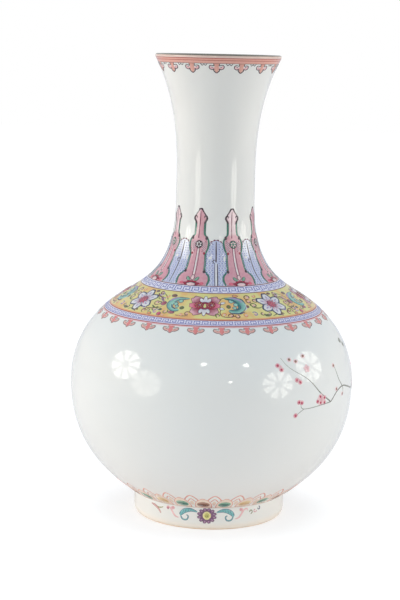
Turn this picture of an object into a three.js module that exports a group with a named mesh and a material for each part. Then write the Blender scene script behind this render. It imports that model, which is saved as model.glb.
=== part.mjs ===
// Globular porcelain vase: round belly, tall neck with a flared mouth, low foot ring.
// Millimetres, +Z up, origin on the ground at the centre of the foot.
// It is built as such a vase is made: four sections are thrown and turned, their edges are
// stepped to key into each other, and each seam is luted with a film of porcelain slip.
import * as THREE from "three";

// Outside outline: radii and heights above the ground
const vaseHeight = 390;
const mouthRadius = 52.5;
const neckRadius = 33.2;
const neckHeight = 267;
const shoulderRadius = 73.4;
const shoulderHeight = 191;
const bellyRadius = 120;
const bellyHeight = 115;
const footRadius = 64.5;
const footHeight = 19;
const footEdgeRadius = 61;
const footEdgeHeight = 6.5;

// Slopes of the outline, in degrees above the horizontal
const bellyFootSlope = 34;
const shoulderSlope = 31;
const mouthSlope = 63;

// How full each curve is: its handle as a share of the height that it climbs
const lowerBellyStart = 0.35;
const lowerBellyEnd = 0.54;
const upperBellyStart = 0.575;
const upperBellyEnd = 0.26;
const shoulderEnd = 0.265;
const neckRootEnd = 0.7;
const neckStart = 0.285;
const mouthEnd = 0.4;

// Walls
const bellyWall = 5.5;
const neckWall = 4.5;
const lipWall = 3.2;
const lipTaper = 24;
const floorThickness = 8;
const baseRecess = 12;
const baseDome = 1.5;
const footRingWall = 8;
const footContactWidth = 3.6;
const footInnerChamfer = 2;

// Seams: where each lies, how high its step is, and the slip in it
const bellySeamHeight = 112;
const neckSeamHeight = 222;
const seamStep = 4;
const slipFilm = 0.8;
const slipBeadDepth = 1.8;
const slipBeadOverlap = 1.4;
const beadClearance = 0.3;

// Fineness of the faceted solids
const roundSegments = 64;
const lipSteps = 6;
const footEdgeSteps = 4;
const bellySteps = 9;
const bellyInsideSteps = 7;
const neckSteps = 13;
const neckInsideSteps = 9;
const outlineSamples = 60;

const point = (r, z) => new THREE.Vector2(r, z);

// The point at a distance from another one, in a direction given in degrees
function along(from, degrees, distance) {
  const angle = THREE.MathUtils.degToRad(degrees);
  return point(
    from.x + Math.cos(angle) * distance,
    from.y + Math.sin(angle) * distance,
  );
}

// The lip is half round, as thick as the wall there
const lipRound = lipWall / 2;
const lipCentre = point(mouthRadius - lipRound, vaseHeight - lipRound);

// The outside as four Bezier curves, from the foot seam up to where the lip turns over
function makeOutline() {
  const foot = point(footRadius, footHeight);
  const belly = point(bellyRadius, bellyHeight);
  const shoulder = point(shoulderRadius, shoulderHeight);
  const neck = point(neckRadius, neckHeight);
  const mouth = along(lipCentre, mouthSlope - 90, lipRound);
  const lowerClimb = bellyHeight - footHeight;
  const upperClimb = shoulderHeight - bellyHeight;
  const rootClimb = neckHeight - shoulderHeight;
  const neckClimb = vaseHeight - neckHeight;
  return [
    new THREE.CubicBezierCurve(
      foot,
      along(foot, bellyFootSlope, lowerClimb * lowerBellyStart),
      along(belly, -90, lowerClimb * lowerBellyEnd),
      belly,
    ),
    new THREE.CubicBezierCurve(
      belly,
      along(belly, 90, upperClimb * upperBellyStart),
      along(shoulder, -shoulderSlope, upperClimb * upperBellyEnd),
      shoulder,
    ),
    new THREE.CubicBezierCurve(
      shoulder,
      along(shoulder, 180 - shoulderSlope, rootClimb * shoulderEnd),
      along(neck, -90, rootClimb * neckRootEnd),
      neck,
    ),
    new THREE.CubicBezierCurve(
      neck,
      along(neck, 90, neckClimb * neckStart),
      along(mouth, mouthSlope - 180, neckClimb * mouthEnd),
      mouth,
    ),
  ];
}

// Wall thickness at a height: the belly's, easing to the neck's, then thinning to the lip
function wallAt(z) {
  const ease = THREE.MathUtils.smoothstep(z, shoulderHeight, neckSeamHeight);
  const body = THREE.MathUtils.lerp(bellyWall, neckWall, ease);
  const lip = THREE.MathUtils.smoothstep(z, lipCentre.y - lipTaper, lipCentre.y);
  return THREE.MathUtils.lerp(body, lipWall, lip);
}

// Fine polylines of the outside and of the inside, which is offset square to it by the wall
function sampleWalls() {
  const outside = [];
  const inside = [];
  makeOutline().forEach((curve, index) => {
    for (let i = index === 0 ? 0 : 1; i <= outlineSamples; i += 1) {
      const place = curve.getPoint(i / outlineSamples);
      const tangent = curve.getTangent(i / outlineSamples);
      outside.push(place);
      inside.push(along(
        place,
        THREE.MathUtils.radToDeg(tangent.angle()) + 90,
        wallAt(place.y),
      ));
    }
  });
  return { outside, inside };
}

const { outside, inside } = sampleWalls();

// Radius of a sampled wall at a height
function radiusAt(samples, z) {
  const high = samples.findIndex((sample) => sample.y >= z);
  if (high <= 0) {
    return samples[high === 0 ? 0 : samples.length - 1].x;
  }
  const a = samples[high - 1];
  const b = samples[high];
  return THREE.MathUtils.mapLinear(z, a.y, b.y, a.x, b.x);
}

// Points along a sampled wall from one height up to another, evenly spaced, ends included
function wallRun(samples, from, to, steps) {
  const run = [
    point(radiusAt(samples, from), from),
    ...samples.filter((sample) => sample.y > from && sample.y < to),
    point(radiusAt(samples, to), to),
  ];
  const lengths = [0];
  for (let i = 1; i < run.length; i += 1) {
    lengths.push(lengths[i - 1] + run[i].distanceTo(run[i - 1]));
  }
  const total = lengths[lengths.length - 1];
  const picked = [run[0]];
  for (let k = 1; k < steps; k += 1) {
    const wanted = (total * k) / steps;
    const i = lengths.findIndex((length) => length >= wanted);
    const share = (wanted - lengths[i - 1]) / (lengths[i] - lengths[i - 1]);
    picked.push(run[i - 1].clone().lerp(run[i], share));
  }
  picked.push(run[run.length - 1]);
  return picked;
}

// One side of a stepped seam, from the outside of the wall to the inside: the inner half of
// the edge stands a step higher than the outer half. Lift 0 is the side that faces up, and
// a lift of the slip's thickness is the side that faces down onto it.
function seamEdge(z, lift) {
  const middle = (radiusAt(outside, z) + radiusAt(inside, z + seamStep)) / 2 + lift;
  return [
    point(radiusAt(outside, z + lift), z + lift),
    point(middle, z + lift),
    point(middle, z + seamStep + lift),
    point(radiusAt(inside, z + seamStep + lift), z + seamStep + lift),
  ];
}

// The foot's seam: the base of the bowl drops as a boss inside the foot ring. Lift as above.
function footSeamEdge(lift) {
  const middle = footRadius - footRingWall / 2 - lift;
  const seat = footHeight - slipFilm + lift;
  const under = baseRecess - slipFilm + lift;
  return [
    point(footRadius, seat),
    point(middle, seat),
    point(middle, under),
    point(footRadius - footRingWall, under),
  ];
}

// A ring or bowl turned round +Z from its section, which runs up outside and down inside
function turned(name, section, material) {
  const onAxis = section[0].x === 0;
  const profile = onAxis ? section : [...section, section[0]];
  const geometry = new THREE.LatheGeometry(profile, roundSegments);
  geometry.rotateX(Math.PI / 2);
  const mesh = new THREE.Mesh(geometry, material);
  mesh.name = name;
  return mesh;
}

// The bead of slip squeezed out inside a seam, which stands clear of the wall above and below
function slipBead(z) {
  const face = (height) => point(radiusAt(inside, height) - beadClearance, height);
  return [
    face(z + slipFilm),
    face(z + slipFilm + slipBeadOverlap),
    point(radiusAt(inside, z) - slipBeadDepth, z + slipFilm / 2),
    face(z - slipBeadOverlap),
    face(z),
  ];
}

// The film of slip in a seam between two sections of the wall
function seamSlip(name, z, material) {
  const under = seamEdge(z, 0);
  const over = seamEdge(z, slipFilm);
  const section = [...over, ...slipBead(z + seamStep), ...under.reverse()];
  return turned(name, section, material);
}

// The film of slip between the foot ring and the base
function footSlip(material) {
  const section = [...footSeamEdge(slipFilm), ...footSeamEdge(0).reverse()];
  return turned("foot_luting_slip", section, material);
}

// The turned foot ring: rounded where it meets the ground, with a flat contact band
function footRing(material) {
  const edge = [];
  const edgeDepth = footRadius - footEdgeRadius;
  for (let i = 0; i <= footEdgeSteps; i += 1) {
    const angle = (Math.PI / 2) * (i / footEdgeSteps);
    edge.push(point(
      footEdgeRadius + edgeDepth * Math.sin(angle),
      footEdgeHeight * (1 - Math.cos(angle)),
    ));
  }
  const section = [
    ...edge,
    ...footSeamEdge(0),
    point(footRadius - footRingWall, footInnerChamfer),
    point(footEdgeRadius - footContactWidth, 0),
  ];
  return turned("foot_ring", section, material);
}

// The lower bowl, with the base as its floor
function lowerBelly(material) {
  const floorTop = baseRecess + floorThickness;
  const insideStart = inside[0].y;
  const section = [
    point(0, baseRecess + baseDome),
    ...footSeamEdge(slipFilm).slice(0, 3).reverse(),
    ...wallRun(outside, footHeight, bellySeamHeight, bellySteps).slice(1, -1),
    ...seamEdge(bellySeamHeight, 0),
    ...wallRun(inside, insideStart, bellySeamHeight + seamStep, bellyInsideSteps)
      .slice(0, -1)
      .reverse(),
    point(inside[0].x - floorThickness, floorTop),
    point(0, floorTop),
  ];
  return turned("lower_belly", section, material);
}

// The upper bowl, from the widest line up over the shoulder
function upperBelly(material) {
  const from = bellySeamHeight;
  const to = neckSeamHeight;
  const section = [
    ...wallRun(outside, from + slipFilm, to, bellySteps).slice(0, -1),
    ...seamEdge(to, 0),
    ...wallRun(inside, from + seamStep + slipFilm, to + seamStep, bellyInsideSteps)
      .slice(1, -1)
      .reverse(),
    ...seamEdge(from, slipFilm).slice(1).reverse(),
  ];
  return turned("upper_belly", section, material);
}

// The neck and mouth, ending in the half-round lip
function neckAndMouth(material) {
  const from = neckSeamHeight;
  const lip = [];
  for (let i = 0; i <= lipSteps; i += 1) {
    lip.push(along(lipCentre, mouthSlope - 90 + (180 * i) / lipSteps, lipRound));
  }
  const section = [
    ...wallRun(outside, from + slipFilm, lip[0].y, neckSteps).slice(0, -1),
    ...lip,
    ...wallRun(inside, from + seamStep + slipFilm, lip[lipSteps].y, neckInsideSteps)
      .slice(1, -1)
      .reverse(),
    ...seamEdge(from, slipFilm).slice(1).reverse(),
  ];
  return turned("neck_and_mouth", section, material);
}

const glazedPorcelain = new THREE.MeshStandardMaterial({
  color: 0xe9ece8,
  roughness: 0.08,
  metalness: 0,
});
const biscuitSlip = new THREE.MeshStandardMaterial({
  color: 0xe6ddc9,
  roughness: 0.7,
  metalness: 0,
});

const vase = new THREE.Group();
vase.add(
  footRing(glazedPorcelain),
  footSlip(biscuitSlip),
  lowerBelly(glazedPorcelain),
  seamSlip("belly_luting_slip", bellySeamHeight, biscuitSlip),
  upperBelly(glazedPorcelain),
  seamSlip("neck_luting_slip", neckSeamHeight, biscuitSlip),
  neckAndMouth(glazedPorcelain),
);

export default vase;
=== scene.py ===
from collections import defaultdict

import bpy
import numpy as np
from mathutils import Matrix, Vector


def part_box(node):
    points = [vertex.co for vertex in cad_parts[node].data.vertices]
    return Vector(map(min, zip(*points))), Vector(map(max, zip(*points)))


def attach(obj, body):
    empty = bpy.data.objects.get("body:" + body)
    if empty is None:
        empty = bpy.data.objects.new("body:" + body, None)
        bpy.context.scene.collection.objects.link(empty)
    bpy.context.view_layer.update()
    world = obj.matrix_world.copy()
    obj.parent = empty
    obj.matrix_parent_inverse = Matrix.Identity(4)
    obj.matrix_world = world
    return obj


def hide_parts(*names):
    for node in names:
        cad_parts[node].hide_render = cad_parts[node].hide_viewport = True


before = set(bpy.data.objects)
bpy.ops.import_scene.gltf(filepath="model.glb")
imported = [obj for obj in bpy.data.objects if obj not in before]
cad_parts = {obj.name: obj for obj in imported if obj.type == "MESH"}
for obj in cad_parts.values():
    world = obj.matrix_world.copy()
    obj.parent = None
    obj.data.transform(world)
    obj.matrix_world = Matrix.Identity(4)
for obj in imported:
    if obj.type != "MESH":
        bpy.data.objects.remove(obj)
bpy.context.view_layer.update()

# The foot ring
# Turned porcelain, luted under the bowl. It is glazed but for the narrow face that stood on the
# kiln shelf, where the bare body has fired to a warm biscuit and stained the glaze beside it.
MM = 0.001
AROUND = 256
foot_boss_depth = 7.0
foot_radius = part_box("foot_ring")[1].x / MM
foot_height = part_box("lower_belly")[0].z / MM + foot_boss_depth
foot_edge_radius = 61.0
foot_edge_height = 6.5
foot_wall = 8.0
foot_contact_width = 3.6
foot_chamfer = 2.0
foot_joint_height = 11.2


def arc(centre, radii, start, end, count):
    """Points on an ellipse: centre plus radii times the cosine and sine of even angles."""
    angle = np.radians(np.linspace(start, end, count))
    return np.stack([centre[0] + radii[0] * np.cos(angle), centre[1] + radii[1] * np.sin(angle)], 1)


def put_mesh(name, points, quads, triangles, materials, normals=None):
    """Puts points in millimetres and faces into a mesh object at the origin, shaded smooth.
    The normals, where they are given, are one for each corner, in the order of the faces."""
    corners = np.concatenate([quads.ravel(), triangles.ravel()]).astype(np.int32)
    starts = np.concatenate([4 * np.arange(len(quads)), 4 * len(quads) + 3 * np.arange(len(triangles))])
    mesh = bpy.data.meshes.new(name)
    mesh.vertices.add(len(points))
    mesh.vertices.foreach_set("co", (points * MM).astype(np.float32).ravel())
    mesh.loops.add(len(corners))
    mesh.loops.foreach_set("vertex_index", corners)
    mesh.polygons.add(len(starts))
    mesh.polygons.foreach_set("loop_start", starts.astype(np.int32))
    mesh.update(calc_edges=True)
    mesh.shade_smooth()
    if normals is not None:
        mesh.normals_split_custom_set(normals)
    for material in materials:
        mesh.materials.append(material)
    piece = bpy.data.objects.new(name, mesh)
    bpy.context.scene.collection.objects.link(piece)
    return piece


def turned(name, runs, material):
    """A body of revolution. Each run is a smooth stretch of its section, up the outside and down
    the inside, and runs meet at sharp edges. A section point (r, h) goes to (r sin a, -r cos a, h)
    at each of the even angles a, and its normal is the section's tangent turned a quarter."""
    section = np.concatenate([run[:-1] for run in runs] + [runs[-1][-1:]])
    closed = np.allclose(section[0], section[-1])
    tangents = [np.gradient(run, axis=0, edge_order=min(2, len(run) - 1)) for run in runs]
    starts = np.concatenate([tangent[:-1] for tangent in tangents])
    ends = np.concatenate([tangent[1:] for tangent in tangents])
    if closed:
        section = section[:-1]
    angle = np.arange(AROUND) * 2 * np.pi / AROUND
    pole = section[:, 0] < 1e-6
    first = np.cumsum(np.where(pole, 1, AROUND)) - np.where(pole, 1, AROUND)
    ring = first[:, None] + np.where(pole[:, None], 0, np.arange(AROUND)[None])
    points = []
    for (radius, height), on_axis in zip(section, pole):
        turn = angle[:1] if on_axis else angle
        points.append(np.stack([radius * np.sin(turn), -radius * np.cos(turn), height + 0 * turn], 1))
    quads, triangles, quad_normals, triangle_normals = [], [], [], []
    beside = np.roll(np.arange(AROUND), -1)
    around = np.stack([np.sin(angle), -np.cos(angle), 0 * angle], 1)

    def facing(tangent):
        out = np.array([tangent[1], -tangent[0]]) / np.hypot(*tangent)
        return around * out[0] + np.array([0, 0, out[1]])

    for low in range(len(starts)):
        high = (low + 1) % len(section)
        below, above = ring[low], ring[high]
        below_normal, above_normal = facing(starts[low]), facing(ends[low])
        if pole[low]:
            triangles.append(np.stack([below, above[beside], above], 1))
            triangle_normals.append(np.stack([below_normal, above_normal[beside], above_normal], 1))
        elif pole[high]:
            triangles.append(np.stack([below, below[beside], above], 1))
            triangle_normals.append(np.stack([below_normal, below_normal[beside], above_normal], 1))
        else:
            quads.append(np.stack([below, below[beside], above[beside], above], 1))
            quad_normals.append(
                np.stack([below_normal, below_normal[beside], above_normal[beside], above_normal], 1)
            )
    triangles = np.concatenate(triangles) if triangles else np.zeros((0, 3), int)
    normals = [part.reshape(-1, 3) for part in quad_normals + triangle_normals]
    piece = put_mesh(
        name, np.concatenate(points), np.concatenate(quads), triangles, [material], np.concatenate(normals)
    )
    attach(piece, "root")
    return piece


def linear(colour):
    """An sRGB hex colour as the linear colour that shaders take."""
    value = np.array([int(colour[i:i + 2], 16) for i in (0, 2, 4)]) / 255
    curve = np.where(value <= 0.04045, value / 12.92, ((value + 0.055) / 1.055) ** 2.4)
    return (*curve, 1.0)


def set_inputs(tree, node, inputs):
    """Gives each input its value, or a link where the value is the output of another node."""
    for socket, value in inputs.items():
        if isinstance(value, bpy.types.NodeSocket):
            tree.links.new(value, node.inputs[socket])
        else:
            node.inputs[socket].default_value = value


def add_node(tree, kind, inputs, **settings):
    """Adds a node with its settings and its inputs."""
    node = tree.nodes.new(kind)
    for name, value in settings.items():
        setattr(node, name, value)
    set_inputs(tree, node, inputs)
    return node


def new_material(name):
    """A material with its tree, its shader and the place on the object that its patterns go by."""
    material = bpy.data.materials.new(name)
    material.use_nodes = True
    tree = material.node_tree
    place = add_node(tree, "ShaderNodeTexCoord", {}).outputs["Object"]
    return material, tree, tree.nodes["Principled BSDF"], place


GLAZE_COLOUR = linear("eef1ef")
GLAZE_WARM = linear("efefea")
GLAZE_DRIFT = 90.0
GLAZE_WAVE = 34.0
GLAZE_WAVE_DEPTH = 0.10


def glazed_porcelain():
    """Feldspathic glaze, fired clear over white porcelain: a deep, even shine on a cool white that
    drifts a little in tone, and the slight waves of a surface that was dipped and ran."""
    material, tree, shader, place = new_material("glazed porcelain")
    tone = add_node(
        tree, "ShaderNodeTexNoise", {"Vector": place, "Scale": 1 / (GLAZE_DRIFT * MM), "Detail": 2.0}
    ).outputs["Fac"]
    colour = add_node(
        tree, "ShaderNodeMix", {"Factor": tone, "A": GLAZE_COLOUR, "B": GLAZE_WARM}, data_type="RGBA"
    ).outputs["Result"]
    waves = add_node(
        tree, "ShaderNodeTexNoise", {"Vector": place, "Scale": 1 / (GLAZE_WAVE * MM), "Detail": 1.0}
    ).outputs["Fac"]
    bump = add_node(
        tree, "ShaderNodeBump", {"Height": waves, "Distance": GLAZE_WAVE_DEPTH * MM}
    ).outputs["Normal"]
    set_inputs(tree, shader, {"Base Color": colour, "Normal": bump, "Roughness": 0.045, "IOR": 1.5})
    return material


BISCUIT_TOP = (2.0, 2.6)
STAIN_TOP = (3.0, 9.0)
EDGE_GRAIN = 9.0
EDGE_WANDER = 2.4


def foot_porcelain():
    """The same glaze, wiped off the standing edge. Up to a ragged line the bare biscuit is matt and
    the colour of cream, and the glaze just above it is stained a little warmer."""
    material, tree, shader, place = new_material("glazed porcelain with biscuit edge")
    height = add_node(tree, "ShaderNodeSeparateXYZ", {"Vector": place}).outputs["Z"]
    ragged = add_node(
        tree, "ShaderNodeTexNoise", {"Vector": place, "Scale": 1 / (EDGE_GRAIN * MM), "Detail": 4.0}
    ).outputs["Fac"]
    edge = add_node(
        tree, "ShaderNodeMath", {0: ragged, 1: EDGE_WANDER * MM, 2: height}, operation="MULTIPLY_ADD"
    ).outputs[0]
    low, high = BISCUIT_TOP
    glazed = add_node(
        tree, "ShaderNodeMapRange", {"Value": edge, "From Min": low * MM, "From Max": high * MM}
    ).outputs[0]
    low, high = STAIN_TOP
    clean = add_node(
        tree,
        "ShaderNodeMapRange",
        {"Value": edge, "From Min": low * MM, "From Max": high * MM},
        interpolation_type="SMOOTHSTEP",
    ).outputs[0]
    stained = add_node(
        tree, "ShaderNodeMix", {"Factor": clean, "A": linear("f2efe7"), "B": GLAZE_COLOUR}, data_type="RGBA"
    ).outputs["Result"]
    colour = add_node(
        tree, "ShaderNodeMix", {"Factor": glazed, "A": linear("ebd6ba"), "B": stained}, data_type="RGBA"
    ).outputs["Result"]
    shine = add_node(
        tree, "ShaderNodeMapRange", {"Value": glazed, "To Min": 0.65, "To Max": 0.06}
    ).outputs[0]
    set_inputs(tree, shader, {"Base Color": colour, "Roughness": shine, "IOR": 1.5})
    return material


glaze = glazed_porcelain()
foot_glaze = foot_porcelain()


def flat(*corners):
    """Straight stretches of a section, each a run of its own, through the corners given."""
    return [np.array([a, b], float) for a, b in zip(corners[:-1], corners[1:])]


foot_mid_radius = foot_radius - foot_wall / 2
foot_inner_radius = foot_radius - foot_wall
foot_bend = (foot_radius - foot_edge_radius, foot_edge_height)
foot_side = [(foot_radius, height) for height in np.linspace(foot_edge_height, foot_height, 9)[1:]]
foot_outside = np.concatenate([arc((foot_edge_radius, foot_edge_height), foot_bend, -90, 0, 13), foot_side])
foot_ring = turned(
    "foot_ring_glazed",
    [foot_outside]
    + flat(
        (foot_radius, foot_height),
        (foot_mid_radius, foot_height),
        (foot_mid_radius, foot_joint_height),
        (foot_inner_radius, foot_joint_height),
        (foot_inner_radius, foot_chamfer),
        (foot_edge_radius - foot_contact_width, 0),
        (foot_edge_radius, 0),
    ),
    foot_glaze,
)
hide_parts("foot_ring", "foot_luting_slip")

# The lower bowl
# Thrown and turned porcelain that widens up to its rim, just below the belly's widest line, with
# the base of the vase as its floor. Its top edge is stepped, and the upper bowl is luted onto it.
vase_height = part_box("neck_and_mouth")[1].z / MM
mouth_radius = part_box("neck_and_mouth")[1].x / MM
belly_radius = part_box("upper_belly")[1].x / MM
belly_height = 115.0
shoulder_radius = 73.4
shoulder_height = 191.0
neck_radius = 33.2
neck_height = 267.0
belly_foot_slope = 34.0
shoulder_slope = 31.0
mouth_slope = 63.0
wall_handles = ((0.35, 0.54), (0.575, 0.26), (0.265, 0.7), (0.285, 0.4))
belly_wall = 5.5
neck_wall = 4.5
lip_wall = 3.2
lip_taper = 24.0
floor_thickness = 8.0
base_recess = 12.0
base_dome = 1.5
seam_step = 4.0
belly_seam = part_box("upper_belly")[0].z / MM
neck_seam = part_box("neck_and_mouth")[0].z / MM
section_step = 1.6


def towards(point, degrees, distance):
    """The point at a distance in a direction, counted from straight out towards straight up."""
    angle = np.radians(degrees)
    return np.array([point[0] + np.cos(angle) * distance, point[1] + np.sin(angle) * distance])


def bezier(start, first_handle, last_handle, end):
    """A cubic curve: start, handles and end weighted by the four Bernstein terms."""
    t = np.linspace(0, 1, 600)[:, None]
    early = (1 - t) ** 3 * start + 3 * (1 - t) ** 2 * t * first_handle
    return early + 3 * (1 - t) * t**2 * last_handle + t**3 * end


lip_round = lip_wall / 2
lip_centre = np.array([mouth_radius - lip_round, vase_height - lip_round])


def wall_curve():
    """The outside from the foot's seam to the lip, as four curves that meet without a corner: each
    handle lies along the slope at its end, as long as a share of the height that the curve climbs."""
    knots = np.array(
        [
            (foot_radius, foot_height),
            (belly_radius, belly_height),
            (shoulder_radius, shoulder_height),
            (neck_radius, neck_height),
            towards(lip_centre, mouth_slope - 90, lip_round),
        ]
    )
    slopes = (belly_foot_slope, 90, 180 - shoulder_slope, 90, mouth_slope)
    climbs = np.diff([foot_height, belly_height, shoulder_height, neck_height, vase_height])
    curves = [knots[:1]]
    for i, (climb, (first, last)) in enumerate(zip(climbs, wall_handles)):
        leaving = towards(knots[i], slopes[i], climb * first)
        arriving = towards(knots[i + 1], slopes[i + 1] - 180, climb * last)
        curves.append(bezier(knots[i], leaving, arriving, knots[i + 1])[1:])
    return np.concatenate(curves)


def smoothstep(value, low, high):
    """Eases from 0 at the low value to 1 at the high one: three times the share squared, less twice
    its cube."""
    share = np.clip((value - low) / (high - low), 0, 1)
    return share**2 * (3 - 2 * share)


def wall_thickness(height):
    """The belly's wall, easing to the neck's above the shoulder, then thinning to the lip."""
    body = belly_wall + (neck_wall - belly_wall) * smoothstep(height, shoulder_height, neck_seam)
    lip = smoothstep(height, lip_centre[1] - lip_taper, lip_centre[1])
    return body + (lip_wall - body) * lip


outer_wall = wall_curve()
wall_tangent = np.gradient(outer_wall, axis=0)
wall_tangent /= np.linalg.norm(wall_tangent, axis=1, keepdims=True)
wall_inward = np.stack([-wall_tangent[:, 1], wall_tangent[:, 0]], 1)
inner_wall = outer_wall + wall_inward * wall_thickness(outer_wall[:, 1])[:, None]


def at_height(wall, height):
    """The point of a wall at a height."""
    return np.array([np.interp(height, wall[:, 1], wall[:, 0]), height])


def run_up(wall, low, high):
    """Points up a wall between two heights, at even steps along it."""
    inside = (wall[:, 1] > low) & (wall[:, 1] < high)
    run = np.concatenate([[at_height(wall, low)], wall[inside], [at_height(wall, high)]])
    length = np.concatenate([[0], np.cumsum(np.hypot(*np.diff(run, axis=0).T))])
    even = np.linspace(0, length[-1], int(length[-1] / section_step) + 2)
    return np.stack([np.interp(even, length, run[:, 0]), np.interp(even, length, run[:, 1])], 1)


def seam_corners(height):
    """The stepped edge of a seam, from the outside in: its inner half stands a step higher."""
    outer = at_height(outer_wall, height)
    inner = at_height(inner_wall, height + seam_step)
    middle = (outer[0] + inner[0]) / 2
    return outer, (middle, height), (middle, height + seam_step), inner


floor_top = base_recess + floor_thickness
floor_edge = np.array([inner_wall[0, 0] - floor_thickness, floor_top])
lower_bowl = turned(
    "lower_bowl_glazed",
    flat(
        (0, base_recess + base_dome),
        (foot_inner_radius, foot_joint_height),
        (foot_mid_radius, foot_joint_height),
        (foot_mid_radius, foot_height),
        (foot_radius, foot_height),
    )
    + [run_up(outer_wall, foot_height, belly_seam)]
    + flat(*seam_corners(belly_seam))
    + [run_up(inner_wall, inner_wall[0, 1], belly_seam + seam_step)[::-1]]
    + flat(inner_wall[0], floor_edge, (0, floor_top)),
    glaze,
)
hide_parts("lower_belly")

# The upper bowl
# The second thrown section, from just below the widest line of the belly over the shoulder to the
# root of the neck. The glaze runs over both seams and hides them.
upper_bowl = turned(
    "upper_bowl_glazed",
    [run_up(outer_wall, belly_seam, neck_seam)]
    + flat(*seam_corners(neck_seam))
    + [run_up(inner_wall, belly_seam + seam_step, neck_seam + seam_step)[::-1]]
    + flat(*seam_corners(belly_seam)[::-1]),
    glaze,
)
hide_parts("upper_belly")

# The neck and mouth
# The last thrown section: a slender neck that opens to a flared mouth with a half-round lip.
lip = arc(lip_centre, (lip_round, lip_round), mouth_slope - 90, mouth_slope + 90, 15)
neck_section = turned(
    "neck_and_mouth_glazed",
    [
        run_up(outer_wall, neck_seam, lip[0, 1]),
        lip,
        run_up(inner_wall, neck_seam + seam_step, lip[-1, 1])[::-1],
    ]
    + flat(*seam_corners(neck_seam)[::-1]),
    glaze,
)
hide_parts("neck_and_mouth")

# The slip beads
# Liquid porcelain that was squeezed from each seam when the sections were pressed together, and
# left as a soft ridge round the inside.
bead_depth = 1.8
bead_half = 2.2
bead_root = 0.4
slip_grain = 1.5


def slip_body():
    """Slip fired under the thin glaze of the inside: a duller, creamier white than the wall."""
    material, tree, shader, place = new_material("porcelain slip")
    grain = add_node(
        tree, "ShaderNodeTexNoise", {"Vector": place, "Scale": 1 / (slip_grain * MM), "Detail": 3.0}
    ).outputs["Fac"]
    colour = add_node(
        tree,
        "ShaderNodeMix",
        {"Factor": grain, "A": linear("e6ddc9"), "B": linear("efe9da")},
        data_type="RGBA",
    ).outputs["Result"]
    bump = add_node(tree, "ShaderNodeBump", {"Height": grain, "Distance": 0.08 * MM}).outputs["Normal"]
    set_inputs(tree, shader, {"Base Color": colour, "Normal": bump, "Roughness": 0.45})
    return material


slip = slip_body()
bend = np.radians(np.linspace(90, -90, 11))
for seam_name, seam_height in (("belly", belly_seam), ("neck", neck_seam)):
    height = seam_height + seam_step
    low = at_height(inner_wall, height - bead_half) + (bead_root, 0)
    high = at_height(inner_wall, height + bead_half) + (bead_root, 0)
    middle = (low + high) / 2
    ridge_radius = middle[0] - bead_depth * np.cos(bend) + (high[0] - low[0]) / 2 * np.sin(bend)
    ridge = np.stack([ridge_radius, middle[1] + bead_half * np.sin(bend)], 1)
    bead = turned(seam_name + "_slip_bead", [ridge] + flat(ridge[-1], ridge[0]), slip)
    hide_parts(seam_name + "_luting_slip")

# The rim dressing
# A dark brown-green wash that was brushed over the lip after the white glaze.
rim_depth = 0.12
rim_low = 36.0
rim_over = 175.0
rim_patch = 14.0


def rim_wash():
    """Iron-brown enamel, thin and uneven, that drifts between an olive and a brown grey."""
    material, tree, shader, place = new_material("iron rim enamel")
    patch = add_node(
        tree, "ShaderNodeTexNoise", {"Vector": place, "Scale": 1 / (rim_patch * MM), "Detail": 4.0}
    ).outputs["Fac"]
    colour = add_node(
        tree,
        "ShaderNodeMix",
        {"Factor": patch, "A": linear("5d6152"), "B": linear("877c6e")},
        data_type="RGBA",
    ).outputs["Result"]
    set_inputs(tree, shader, {"Base Color": colour, "Roughness": 0.22})
    return material


wash_outer = arc(lip_centre, (lip_round + rim_depth, lip_round + rim_depth), rim_low, rim_over, 15)
wash_inner = arc(lip_centre, (lip_round - rim_depth, lip_round - rim_depth), rim_over, rim_low, 9)
wash = [wash_outer, *flat(wash_outer[-1], wash_inner[0]), wash_inner, *flat(wash_inner[-1], wash_outer[0])]
turned("rim_dressing", wash, rim_wash())

# The mouth border
# Overglaze enamel, ground glass with metal oxides that was painted on the fired glaze and fired
# again: a salmon band between iron-red lines, with fifteen cloud-headed pendants below it.
# Every enamel lies on the outside of the vase, where a place is a turn round the axis in degrees
# from the front and a rise in millimetres up the wall from the foot's standing edge.
SUNK = 0.03
RING_DEPTH = 0.4
STAGGER = 0.0004
BEVEL = 0.2
POOL_SIZE = 2.2
POOL_DEPTH = 0.012
lip_outside = arc(lip_centre, (lip_round, lip_round), mouth_slope - 90, 90, 30)
outside = np.concatenate([foot_outside[:-1], outer_wall, lip_outside[1:]])
outside_rise = np.concatenate([[0], np.cumsum(np.hypot(*np.diff(outside, axis=0).T))])
outside_tangent = np.gradient(outside, outside_rise, axis=0)


def on_glaze(turn, rise, lift):
    """Points on the outside: the section's radius and height at the rise, moved out along its
    normal by the lift, at the given turn in radians."""
    radius = np.interp(rise, outside_rise, outside[:, 0])
    height = np.interp(rise, outside_rise, outside[:, 1])
    out = np.interp(rise, outside_rise, outside_tangent[:, 1])
    up = -np.interp(rise, outside_rise, outside_tangent[:, 0])
    radius = radius + lift * out
    return np.stack([radius * np.sin(turn), -radius * np.cos(turn), height + lift * up], -1)


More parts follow.
